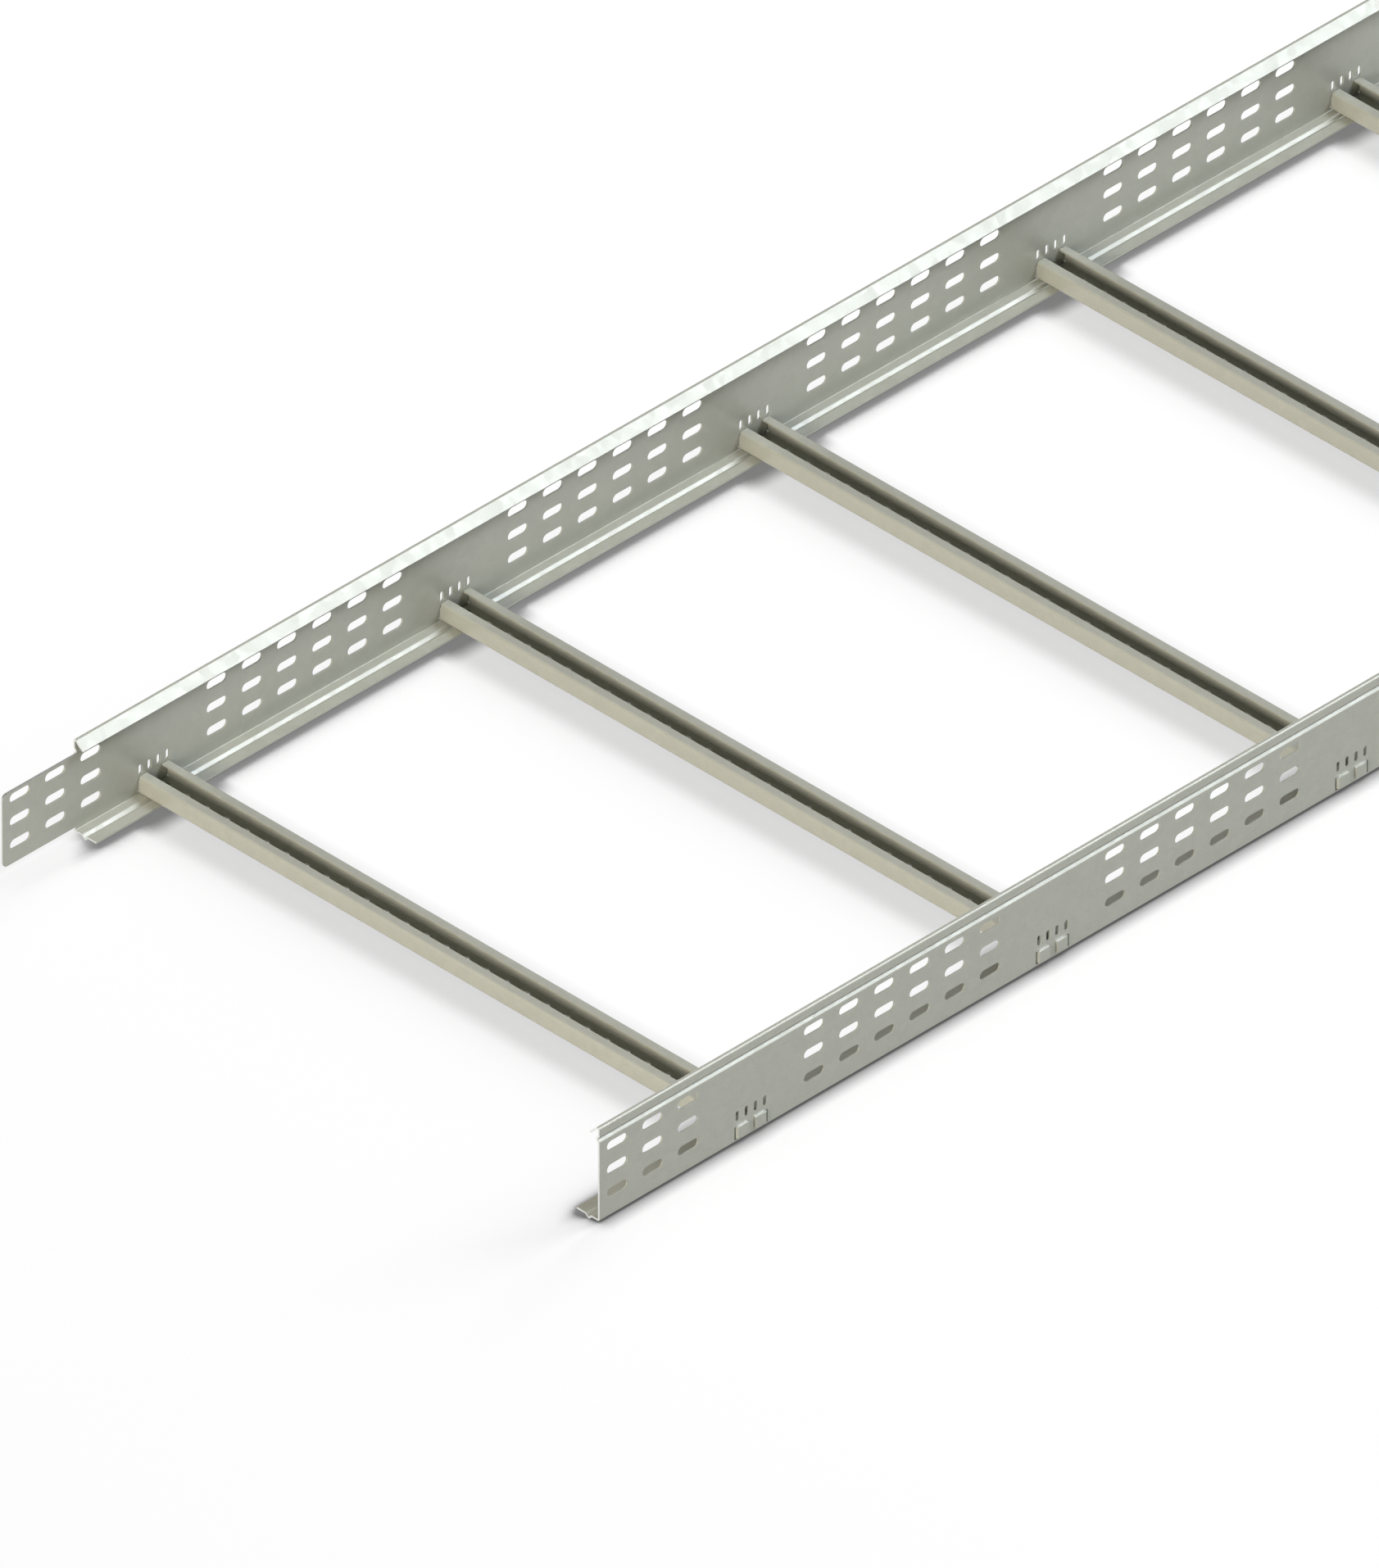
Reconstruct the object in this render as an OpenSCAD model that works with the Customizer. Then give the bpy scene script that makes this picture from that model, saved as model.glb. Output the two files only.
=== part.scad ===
// Cable ladder section: two roll-formed C side rails and a row of C rungs.
// Each rung's side walls end in tabs that pass through the rail and are clenched on its outside.
// X runs along the rails, Y across the ladder and Z up. The origin is at the middle of the length
// and of the width, at the underside of the rails' stiffening beads, on which the ladder rests.

/* [Ladder] */
// Distance between the centres of two rungs
rung_pitch = 300; // [250:5:400]
// Distance from a rail's end to the centre of the nearest rung
end_to_rung = 150; // [150:5:200]
// Width over the outer faces of the two side rails
ladder_width = 597; // [297:10:897]
// Thickness of the galvanised sheet of the rails and the rungs
sheet_t = 1.5; // [1:0.1:2]
// Inside radius of every bend
bend_r = 0.5; // [0.4:0.1:1]

/* [Side rail] */
// Height of the web, from the underside of the bottom flange to the top
rail_height = 80; // [72:1:120]
// Width of the bottom flange, from the rail's outer face
bottom_flange_w = 22.5; // [18:0.5:35]
// Reach of the sloping top flange, from the rail's outer face
top_flange_w = 9.8; // [8:0.1:14]
// Distance from the rail's outer face to the middle of the stiffening bead
bead_y = 10.9; // [10:0.1:13]
// Depth of the stiffening bead under the bottom flange
bead_depth = 2.4; // [1.5:0.1:3]
// Depth of the lid groove that is rolled into the web
groove_depth = 1.9; // [1:0.1:2.4]
// Height of each of the groove's two slopes
groove_slope_h = 2.4; // [2.2:0.1:3]
// Distance from the rail's top to the groove's upper edge
groove_drop = 7.6; // [7:0.1:8]

/* [Web slots] */
// Length of a slot, along the rail
slot_length = 20; // [14:0.5:24]
// Width of a slot
slot_width = 8; // [6:0.1:8.5]
// Distance between two columns of slots
slot_pitch_x = 35; // [30:0.5:40]
// Distance between two rows of slots
slot_pitch_z = 20; // [16:0.5:20.5]
// Number of rows
slot_rows = 3; // [1:1:3]
// Distance from the rail's top down to the middle of the first row
slot_drop = 20; // [17:0.5:24]
// Distance from a rail's end to the first column
slot_end_x = 17.5; // [15:0.5:20]
// Least distance from a rung's centre to a column
slot_rung_clearance = 60; // [50:1:62]

/* [Coupling tongue] */
// Length of the tongue, which enters the next section
tongue_length = 72; // [66:1:76]
// Distance from the underside of the flange to the tongue's lower edge
tongue_low = 4; // [3:0.5:8]
// Distance from the rail's top to the tongue's upper edge
tongue_drop = 13.5; // [13:0.1:15]
// Radius of the tongue's corners
tongue_corner_r = 5; // [2:0.5:8]

/* [Rung] */
// Width of a rung, along the ladder
rung_width = 30; // [28:0.5:40]
// Height of a rung
rung_height = 15; // [14:0.5:20]
// Width of the lips on both sides of the rung's mouth
rung_lip_w = 7.4; // [5:0.1:9]
// Length of a slot in the rung's floor, across the rung
floor_slot_length = 15; // [10:0.5:18]
// Width of a slot in the rung's floor
floor_slot_width = 7; // [5:0.1:9]
// Distance between two slots in the rung's floor
floor_slot_pitch = 20; // [15:0.5:30]
// Least distance from a rung's end to the centre of a floor slot
floor_slot_margin = 5; // [5:0.1:12]

/* [Clenched tabs] */
// Height of a tab
tab_height = 9.5; // [7:0.1:9.5]
// Reach of a clenched tab, from the face of the rung's side wall
tab_reach = 11.4; // [8:0.1:12]
// Play of the tab slot under the tab
tab_play_under = 1.2; // [0.2:0.1:1.3]
// Play of the tab slot over the tab
tab_play_over = 0.3; // [0.2:0.1:0.6]
// Play of the tab slot beside the tab, on the outside of its bend
tab_play_outside = 1.4; // [0.5:0.1:2]
// Play of the tab slot on the inside of the tab's bend
tab_play_inside = 0.3; // [0.2:0.1:0.6]

/* [Punched marks] */
// Number of small upright slots over each joint
mark_count = 4; // [2:1:4]
// Width of a mark
mark_width = 3.4; // [2:0.1:4]
// Height of a mark
mark_height = 8.6; // [6:0.1:9]
// Distance between two marks
mark_pitch = 9; // [6:0.5:10]
// Distance from the rung's top up to the marks
mark_gap = 1; // [0.5:0.1:2]

/* [Hidden] */
RAIL_COLOUR = "#A4A69B";
RUNG_COLOUR = "#BAB8A6";
$fn = 48;
bend_step = 15;                             // largest angle of one facet of a bend
cut_over = 1;                               // how far a cutter reaches past the sheet

rungs = 10;
ladder_length = (rungs - 1) * rung_pitch + 2 * end_to_rung;
bend_outer_r = bend_r + sheet_t;
flange_z = bead_depth;                      // underside of the bottom flange
rung_z = flange_z + sheet_t;                // the rung stands on the flange
rung_length = ladder_width - 2 * (sheet_t + bend_r);  // it stops short of the rail's inner bends
tab_low = bend_outer_r;                     // the tab leaves the flat part of the rung's side wall
tab_z = sheet_t + tab_low;                  // lower edge of a tab, above the flange's underside

function rung_x(i) = (i - (rungs + 1) / 2) * rung_pitch;

// ---- Sheet bent along a line of corners ----

function unit(v) = v / norm(v);
function left_of(v) = [-v[1], v[0]];
function turned(v, angle) =
    [v[0] * cos(angle) - v[1] * sin(angle), v[0] * sin(angle) + v[1] * cos(angle)];
function reversed(list) = [for (i = [len(list) - 1:-1:0]) list[i]];

function heading(p, i) = unit(p[i + 1] - p[i]);
// Angle of the bend at corner i, positive to the left
function turn(p, i) =
    let (a = heading(p, i - 1), b = heading(p, i))
    atan2(a[0] * b[1] - a[1] * b[0], a * b);

// Arc at corner i, on the line that runs off to the left of the corners' own line
function bend_arc(p, i, off) =
    let (angle = turn(p, i),
         side = sign(angle),
         r = side > 0 ? bend_outer_r : bend_r,
         d = heading(p, i - 1),
         spoke = -side * left_of(d),
         centre = p[i] - r * tan(abs(angle) / 2) * d - r * spoke,
         steps = ceil(abs(angle) / bend_step))
    [for (k = [0:steps]) centre + (r - side * off) * turned(spoke, angle * k / steps)];

// One face of the sheet, from its first edge to its last
function sheet_face(p, off) =
    let (last = len(p) - 1)
    [p[0] + off * left_of(heading(p, 0)),
     for (i = [1:last - 1]) each bend_arc(p, i, off),
     p[last] + off * left_of(heading(p, last - 1))];

// Section of a bent sheet that lies to the left of the line through the corners p
module bent_sheet(p) {
    polygon(concat(sheet_face(p, 0), reversed(sheet_face(p, sheet_t))));
}

// ---- Slots ----

// Obround slot along X
module slot(length, width) {
    square([length - width, width], center = true);
    for (side = [-1, 1])
        translate([side * (length - width) / 2, 0]) circle(d = width);
}

// Cutter from an outline in the XZ plane, from y = -cut_over to y = depth
module across(depth) {
    translate([0, depth, 0])
        rotate([90, 0, 0])
            linear_extrude(depth + cut_over) children();
}

// ---- Side rail: outer face at y = 0, flanges towards +Y, tongue at the +X end ----

// Corners of the rail's section on its outer side, from the top flange's edge to the bottom one's
function rail_corners() =
    let (top = rail_height - bend_outer_r + bend_outer_r * tan(135 / 2),
         groove = rail_height - groove_drop,
         bead = bead_depth + bend_outer_r * (sqrt(2) - 1))
    [[top_flange_w, top - top_flange_w],
     [0, top],
     [0, groove],
     [groove_depth, groove - groove_slope_h],
     [0, groove - 2 * groove_slope_h],
     [0, 0],
     [bead_y - bead, 0],
     [bead_y, -bead],
     [bead_y + bead, 0],
     [bottom_flange_w, 0]];

// Columns of slots between a rail's end and the nearest rung, as distances from the end
function end_columns() = [for (x = [slot_end_x:slot_pitch_x:end_to_rung - slot_rung_clearance]) x];

// Columns of slots between two rungs, as distances from the middle of the bay
function bay_columns() =
    let (gaps = floor((rung_pitch - 2 * slot_rung_clearance) / slot_pitch_x))
    [for (k = [0:gaps]) (k - gaps / 2) * slot_pitch_x];

function slot_columns() =
    [for (x = end_columns()) for (end = [-1, 1]) end * (ladder_length / 2 - x),
     for (i = [1:rungs - 1]) for (x = bay_columns()) rung_x(i) + rung_pitch / 2 + x];

module web_slots() {
    for (x = slot_columns())
        for (row = [0:slot_rows - 1])
            translate([x, rail_height - slot_drop - row * slot_pitch_z])
                slot(slot_length, slot_width);
}

// The two slots that a rung's tabs pass through
module tab_slots() {
    inner = rung_width / 2 - bend_outer_r - tab_play_inside;
    outer = rung_width / 2 + tab_play_outside;
    for (side = [0, 1])
        mirror([side, 0])
            translate([inner, tab_z - tab_play_under])
                square([outer - inner, tab_height + tab_play_under + tab_play_over]);
}

// Row of small upright slots over a joint
module marks() {
    for (k = [0:mark_count - 1])
        translate([(k - (mark_count - 1) / 2) * mark_pitch,
                   sheet_t + rung_height + mark_gap + mark_height / 2])
            rotate(90) slot(mark_height, mark_width);
}

// What is cut off round the tongue
module tongue_surround() {
    low = tongue_low;
    high = rail_height - tongue_drop;
    r = tongue_corner_r;
    difference() {
        translate([-tongue_length, -2 * bead_depth])
            square([tongue_length + cut_over, rail_height + 4 * bead_depth]);
        translate([-tongue_length - cut_over, low])
            square([tongue_length + cut_over - r, high - low]);
        translate([-r - cut_over, low + r])
            square([r + cut_over, high - low - 2 * r]);
        for (z = [low + r, high - r])
            translate([-r, z]) circle(r);
    }
}

module side_rail() {
    color(RAIL_COLOUR)
        difference() {
            translate([-ladder_length / 2, 0, 0])
                rotate([90, 0, 90])
                    linear_extrude(ladder_length) bent_sheet(rail_corners());
            across(sheet_t + cut_over) {
                web_slots();
                for (i = [1:rungs])
                    translate([rung_x(i), 0]) {
                        tab_slots();
                        marks();
                    }
            }
            translate([ladder_length / 2, -cut_over, 0])
                across(bottom_flange_w + 2 * cut_over) tongue_surround();
        }
}

module side_rail_near() {
    translate([0, -ladder_width / 2, flange_z]) side_rail();
}

// The same rail, turned end for end
module side_rail_far() {
    rotate([0, 0, 180]) side_rail_near();
}

// ---- Rungs ----

// Corners of the rung's section on its outer side, from lip to lip
function rung_corners() =
    let (half = rung_width / 2)
    [[rung_lip_w - half, rung_height],
     [-half, rung_height],
     [-half, 0],
     [half, 0],
     [half, rung_height],
     [half - rung_lip_w, rung_height]];

// Corners of a tab in plan: out through the rail, then flat against its outer face
function tab_corners() =
    let (half = rung_width / 2, outside = ladder_width / 2 + sheet_t)
    [[half, rung_length / 2 - sheet_t],
     [half, outside],
     [half - tab_reach, outside]];

module floor_slots() {
    gaps = floor((rung_length - 2 * floor_slot_margin) / floor_slot_pitch);
    for (k = [0:gaps])
        translate([0, (k - gaps / 2) * floor_slot_pitch])
            slot(floor_slot_length, floor_slot_width);
}

module rung(i) {
    color(RUNG_COLOUR)
        translate([rung_x(i), 0, rung_z]) {
            difference() {
                rotate([90, 0, 0])
                    translate([0, 0, -rung_length / 2])
                        linear_extrude(rung_length) bent_sheet(rung_corners());
                translate([0, 0, -cut_over])
                    linear_extrude(sheet_t + 2 * cut_over) floor_slots();
            }
            for (x_side = [0, 1])
                for (y_side = [0, 1])
                    mirror([x_side, 0, 0])
                        mirror([0, y_side, 0])
                            translate([0, 0, tab_low])
                                linear_extrude(tab_height) bent_sheet(tab_corners());
        }
}

side_rail_near();
side_rail_far();
rung(1);  // rung_01
rung(2);  // rung_02
rung(3);  // rung_03
rung(4);  // rung_04
rung(5);  // rung_05
rung(6);  // rung_06
rung(7);  // rung_07
rung(8);  // rung_08
rung(9);  // rung_09
rung(10);  // rung_10
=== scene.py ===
"""Cable ladder section in galvanised steel: two roll-formed side rails and ten clenched rungs.

Every shape is a sheet profile carried along a straight path, worked out as whole numpy arrays.
Slots, tabs and the tongue are then joined to the sheet, or cut from it, by Boolean modifiers.
X runs along the rails, Y across the ladder and Z up. Sizes are in millimetres until a mesh is made.
"""

import logging
import math
from dataclasses import dataclass, field
from enum import Enum
from typing import Any, Iterable, Sequence

import bpy
import numpy as np
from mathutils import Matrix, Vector

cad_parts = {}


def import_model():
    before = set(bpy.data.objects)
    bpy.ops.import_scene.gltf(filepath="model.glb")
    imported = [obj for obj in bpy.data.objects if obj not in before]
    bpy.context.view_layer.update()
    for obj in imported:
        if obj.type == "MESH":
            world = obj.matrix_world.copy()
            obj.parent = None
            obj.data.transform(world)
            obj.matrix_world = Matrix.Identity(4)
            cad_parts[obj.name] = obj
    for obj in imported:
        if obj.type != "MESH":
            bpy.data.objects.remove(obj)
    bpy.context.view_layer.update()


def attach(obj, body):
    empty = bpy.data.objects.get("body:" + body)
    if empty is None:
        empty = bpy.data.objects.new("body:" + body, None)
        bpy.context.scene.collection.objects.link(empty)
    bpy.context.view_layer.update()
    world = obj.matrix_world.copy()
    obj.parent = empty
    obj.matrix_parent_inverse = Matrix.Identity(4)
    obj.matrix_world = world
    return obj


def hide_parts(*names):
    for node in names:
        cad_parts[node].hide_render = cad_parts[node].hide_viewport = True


LOG = logging.getLogger("cable_ladder")
MM = 0.001
OVERCUT = 1.0  # how far a cutting tool reaches past the sheet, in millimetres
SHARP_DEGREES = 30  # an edge that turns by more than this is sharp
FLAT_WEIGHT = 100  # full weight of the large faces, so that the flats shade flat
NOISE_SPAN = (0.3, 0.7)  # where nearly all of a noise texture's values lie

X_AXIS = np.array([1.0, 0.0, 0.0])
Y_AXIS = np.array([0.0, 1.0, 0.0])
Z_AXIS = np.array([0.0, 0.0, 1.0])


class Surface(Enum):
    """Finish of a face, by its material slot."""

    SHEET = 0
    CUT_EDGE = 1


class Cut(Enum):
    """What a Boolean modifier does with a tool mesh."""

    ADD = "UNION"
    REMOVE = "DIFFERENCE"


class RailSide(Enum):
    """Which of the two equal rails, by the sign that half a turn about Z gives its X and Y."""

    NEAR = 1.0
    FAR = -1.0


# ---- Meshes as arrays ----


@dataclass
class Shell:
    """Closed surface as whole arrays.

    Attributes:
        points: Vertices, one row each, in millimetres.
        corners: Vertex index of each face corner, face after face.
        counts: Number of corners of each face.
        surfaces: Material slot of each face.
    """

    points: np.ndarray
    corners: np.ndarray
    counts: np.ndarray
    surfaces: np.ndarray

    def repeated(self, offsets: np.ndarray) -> "Shell":
        """Copies the shell to each of several places.

        Copy k has the points P + offsets[k].

        Args:
            offsets: One row of X, Y and Z for each copy.

        Returns:
            All copies as one shell.
        """
        copies = len(offsets)
        points = (offsets[:, None, :] + self.points[None, :, :]).reshape(-1, 3)
        first = np.arange(copies)[:, None] * len(self.points)
        return Shell(
            points,
            (first + self.corners[None, :]).ravel(),
            np.tile(self.counts, copies),
            np.tile(self.surfaces, copies),
        )

    def moved(self, offset: Sequence[float]) -> "Shell":
        """Shifts the shell by X, Y and Z."""
        return Shell(self.points + np.array(offset), self.corners, self.counts, self.surfaces)

    def spun(self, sign: float) -> "Shell":
        """Turns the shell by half a turn about Z where the sign is negative."""
        return Shell(self.points * [sign, sign, 1.0], self.corners, self.counts, self.surfaces)

    def mirrored(self, signs: Sequence[float]) -> "Shell":
        """Mirrors the shell in the planes whose sign is negative, with its faces still outwards.

        Args:
            signs: +1 or -1 for X, Y and Z.

        Returns:
            The mirrored shell. An odd number of mirrors reverses each face's corners.
        """
        corners = self.corners
        if np.prod(signs) < 0:
            ends = np.cumsum(self.counts)
            position = np.arange(len(corners))
            face_end = np.repeat(ends, self.counts)
            face_start = face_end - np.repeat(self.counts, self.counts)
            corners = corners[face_start + face_end - 1 - position]
        return Shell(self.points * np.array(signs), corners, self.counts, self.surfaces)


def joined(shells: Iterable[Shell]) -> Shell:
    """Puts several shells into one set of arrays.

    Args:
        shells: The shells to join.

    Returns:
        One shell that holds all their faces.
    """
    parts = list(shells)
    first = np.cumsum([0] + [len(p.points) for p in parts[:-1]])
    return Shell(
        np.concatenate([p.points for p in parts]),
        np.concatenate([p.corners + f for p, f in zip(parts, first)]),
        np.concatenate([p.counts for p in parts]),
        np.concatenate([p.surfaces for p in parts]),
    )


def carried(
    profile: np.ndarray,
    across: np.ndarray,
    up: np.ndarray,
    start: Sequence[float],
    end: Sequence[float],
    sides: Surface = Surface.SHEET,
    ends: Surface = Surface.CUT_EDGE,
) -> Shell:
    """Carries a closed profile along a straight path.

    P(i, j) = path[j] + profile[i].u * across + profile[i].v * up, with a flat cap at both ends.

    Args:
        profile: Outline as rows of (u, v), in either direction.
        across: Direction of u.
        up: Direction of v.
        start: First point of the path.
        end: Last point of the path.
        sides: Finish of the carried faces.
        ends: Finish of the two caps.

    Returns:
        The closed shell, with its faces outwards.
    """
    path = np.array([start, end], float)
    u, v = profile[:, 0], profile[:, 1]
    area = 0.5 * np.sum(u * np.roll(v, -1) - v * np.roll(u, -1))
    along = np.cross(across, up) @ (path[1] - path[0])
    if area * along < 0:
        profile = profile[::-1]
    flat = profile[:, :1] * across + profile[:, 1:] * up
    points = (path[:, None, :] + flat[None, :, :]).reshape(-1, 3)
    n = len(profile)
    i = np.arange(n)
    k = np.roll(i, -1)
    walls = np.stack([i, k, k + n, i + n], axis=1).ravel()
    caps = np.concatenate([i[::-1], i + n])
    return Shell(
        points,
        np.concatenate([walls, caps]),
        np.concatenate([np.full(n, 4), [n, n]]),
        np.concatenate([np.full(n, sides.value), [ends.value, ends.value]]),
    )


def obround(length: float, width: float, segments: int = 16) -> np.ndarray:
    """Outline of a slot with round ends, along u.

    Two half circles: (±(length - width) / 2 + r cos t, r sin t), with r = width / 2.

    Args:
        length: Length over the round ends.
        width: Width between the straight edges.
        segments: Facets of each half circle.

    Returns:
        Rows of (u, v), counter-clockwise.
    """
    angle = np.linspace(-math.pi / 2, math.pi / 2, segments + 1)
    half = np.stack([np.cos(angle), np.sin(angle)], axis=1) * width / 2
    half[:, 0] += (length - width) / 2
    return np.concatenate([half, -half])


def rounded_box(
    low: Sequence[float], high: Sequence[float], radius: float, segments: int = 8
) -> np.ndarray:
    """Outline of a rectangle with round corners.

    Each corner is a quarter circle about the point that lies one radius inside both edges.

    Args:
        low: Lowest u and v.
        high: Highest u and v.
        radius: Radius of the corners.
        segments: Facets of each corner.

    Returns:
        Rows of (u, v), counter-clockwise.
    """
    angle = np.linspace(0, math.pi / 2, segments + 1)
    arc = np.stack([np.cos(angle), np.sin(angle)], axis=1) * radius
    quarter = np.array([[0.0, 1.0], [-1.0, 0.0]])
    inside = np.array([high[0] - radius, high[1] - radius])
    outline = []
    for turn, (su, sv) in enumerate([(1, 1), (0, 1), (0, 0), (1, 0)]):
        centre = np.where([su, sv], inside, np.array(low) + radius)
        outline.append(centre + arc @ np.linalg.matrix_power(quarter, turn))
    return np.concatenate(outline)


@dataclass(frozen=True)
class BentSheet:
    """Sheet of even thickness, bent along a line of corners on its outer side.

    Attributes:
        thickness: Thickness of the sheet.
        inside_radius: Radius on the inside of every bend.
        facet: Largest angle of one facet of a bend, in degrees.
    """

    thickness: float = 1.5
    inside_radius: float = 0.5
    facet: float = 6.0

    @property
    def outside_radius(self) -> float:
        """Radius on the outside of every bend."""
        return self.inside_radius + self.thickness

    def face(self, corners: np.ndarray, offset: float) -> np.ndarray:
        """One face of the sheet, from its first edge to its last.

        At each corner the line turns by angle a. The bend's centre lies r tan(a / 2) before the
        corner and r to its side. The face is centre + (r - side * offset) * spoke turned by 0 to a.

        Args:
            corners: Rows of (u, v). The sheet lies to the left of the line through them.
            offset: Distance of the face to the left of that line.

        Returns:
            Rows of (u, v).
        """
        step = np.diff(corners, axis=0)
        heading = step / np.linalg.norm(step, axis=1, keepdims=True)
        left = np.stack([-heading[:, 1], heading[:, 0]], axis=1)
        outline = [corners[:1] + offset * left[:1]]
        for i in range(1, len(corners) - 1):
            before, after = heading[i - 1], heading[i]
            angle = math.atan2(before[0] * after[1] - before[1] * after[0], before @ after)
            side = math.copysign(1, angle)
            radius = self.outside_radius if side > 0 else self.inside_radius
            spoke = -side * left[i - 1]
            centre = corners[i] - radius * math.tan(abs(angle) / 2) * before - radius * spoke
            facets = math.ceil(abs(math.degrees(angle)) / self.facet)
            turn = np.linspace(0, angle, facets + 1)[:, None]
            turned = np.cos(turn) * spoke + np.sin(turn) * np.array([-spoke[1], spoke[0]])
            outline.append(centre + (radius - side * offset) * turned)
        outline.append(corners[-1:] + offset * left[-1:])
        return np.concatenate(outline)

    def section(self, corners: np.ndarray) -> np.ndarray:
        """Closed outline of the sheet: its outer face, and its inner face back again."""
        return np.concatenate([self.face(corners, 0), self.face(corners, self.thickness)[::-1]])


# ---- Blender meshes ----


def mesh_object(
    name: str, shell: Shell, materials: Sequence[bpy.types.Material]
) -> bpy.types.Object:
    """Makes a mesh object at the origin, in metres.

    Args:
        name: Name of the object and its mesh.
        shell: Its surface.
        materials: Materials, in the order of Surface.

    Returns:
        The object, linked to the scene.
    """
    mesh = bpy.data.meshes.new(name)
    mesh.vertices.add(len(shell.points))
    mesh.vertices.foreach_set("co", (shell.points * MM).astype(np.float32).ravel())
    mesh.loops.add(len(shell.corners))
    mesh.loops.foreach_set("vertex_index", shell.corners.astype(np.int32))
    mesh.polygons.add(len(shell.counts))
    starts = np.cumsum(shell.counts) - shell.counts
    mesh.polygons.foreach_set("loop_start", starts.astype(np.int32))
    mesh.polygons.foreach_set("material_index", shell.surfaces.astype(np.int32))
    mesh.update(calc_edges=True)
    mesh.validate()
    for material in materials:
        mesh.materials.append(material)
    piece = bpy.data.objects.new(name, mesh)
    bpy.context.scene.collection.objects.link(piece)
    return piece


def shell_of(mesh: bpy.types.Mesh) -> Shell:
    """Reads a Blender mesh back into arrays, in millimetres."""
    points = np.empty(len(mesh.vertices) * 3, np.float32)
    mesh.vertices.foreach_get("co", points)
    corners = np.empty(len(mesh.loops), np.int32)
    mesh.loops.foreach_get("vertex_index", corners)
    counts = np.empty(len(mesh.polygons), np.int32)
    mesh.polygons.foreach_get("loop_total", counts)
    surfaces = np.empty(len(mesh.polygons), np.int32)
    mesh.polygons.foreach_get("material_index", surfaces)
    return Shell(points.reshape(-1, 3).astype(float) / MM, corners, counts, surfaces)


def worked(blank: Shell, tools: Sequence[tuple[Cut, Shell]]) -> Shell:
    """Adds tool meshes to a blank, or removes them from it, in order.

    Args:
        blank: The bent sheet.
        tools: Each tool mesh with what is done with it.

    Returns:
        The finished surface.
    """
    slots = [bpy.data.materials.new(f"slot_{s.name}") for s in Surface]
    piece = mesh_object("blank", blank, slots)
    helpers = []
    for cut, shell in tools:
        tool = mesh_object("tool", shell, slots)
        modifier = piece.modifiers.new(cut.name, "BOOLEAN")
        modifier.operation = cut.value
        modifier.solver = "MANIFOLD"
        modifier.object = tool
        helpers.append(tool)
    bpy.context.view_layer.update()
    depsgraph = bpy.context.evaluated_depsgraph_get()
    result = bpy.data.meshes.new_from_object(piece.evaluated_get(depsgraph))
    finished = shell_of(result)
    for helper in [piece, *helpers]:
        mesh = helper.data
        bpy.data.objects.remove(helper)
        bpy.data.meshes.remove(mesh)
    bpy.data.meshes.remove(result)
    for slot in slots:
        bpy.data.materials.remove(slot)
    return finished


def dressed(
    name: str, shell: Shell, materials: Sequence[bpy.types.Material], node: str
) -> bpy.types.Object:
    """Makes a finished piece that stands for a CAD node.

    Bends are smooth, edges over SHARP_DEGREES are sharp, and weighted normals keep the flats flat.

    Args:
        name: Name of the piece.
        shell: Its surface.
        materials: Materials, in the order of Surface.
        node: CAD node that it stands for.

    Returns:
        The piece, riding on the root body.
    """
    piece = mesh_object(name, shell, materials)
    piece.data.polygons.foreach_set("use_smooth", np.ones(len(piece.data.polygons), bool))
    piece.data.set_sharp_from_angle(angle=math.radians(SHARP_DEGREES))
    weighted = piece.modifiers.new("flat_normals", "WEIGHTED_NORMAL")
    weighted.keep_sharp = True
    weighted.weight = FLAT_WEIGHT
    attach(piece, "root")
    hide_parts(node)
    return piece


# ---- Materials ----


def linear(colour: str) -> tuple[float, ...]:
    """Turns an sRGB hex colour to linear by the sRGB standard's curve.

    Args:
        colour: Such as "#A4A69B".

    Returns:
        Linear red, green and blue.
    """
    s = np.array([int(colour[i : i + 2], 16) / 255 for i in (1, 3, 5)])
    rgb = np.where(s <= 0.04045, s / 12.92, ((s + 0.055) / 1.055) ** 2.4)
    return tuple(rgb.tolist())


def add_node(
    tree: bpy.types.NodeTree,
    kind: str,
    inputs: dict[str | int, Any] | None = None,
    **settings: Any,
) -> bpy.types.Node:
    """Adds a shader node with its settings, values and links.

    Args:
        tree: Node tree of a material or of the world.
        kind: Node type without its "ShaderNode".
        inputs: Socket name or number, with a value or with the output that feeds it.
        **settings: The node's own properties.

    Returns:
        The node.
    """
    node = tree.nodes.new(f"ShaderNode{kind}")
    for name, value in settings.items():
        setattr(node, name, value)
    for name, value in (inputs or {}).items():
        named = [s for s in node.inputs if s.name == name and s.enabled]
        socket = named[0] if named else node.inputs[name]
        if isinstance(value, bpy.types.NodeSocket):
            tree.links.new(value, socket)
        else:
            socket.default_value = value
    return node


def per_metre(size_mm: float) -> float:
    """Texture scale at which one period of a pattern is so many millimetres."""
    return 1 / (size_mm * MM)


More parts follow.
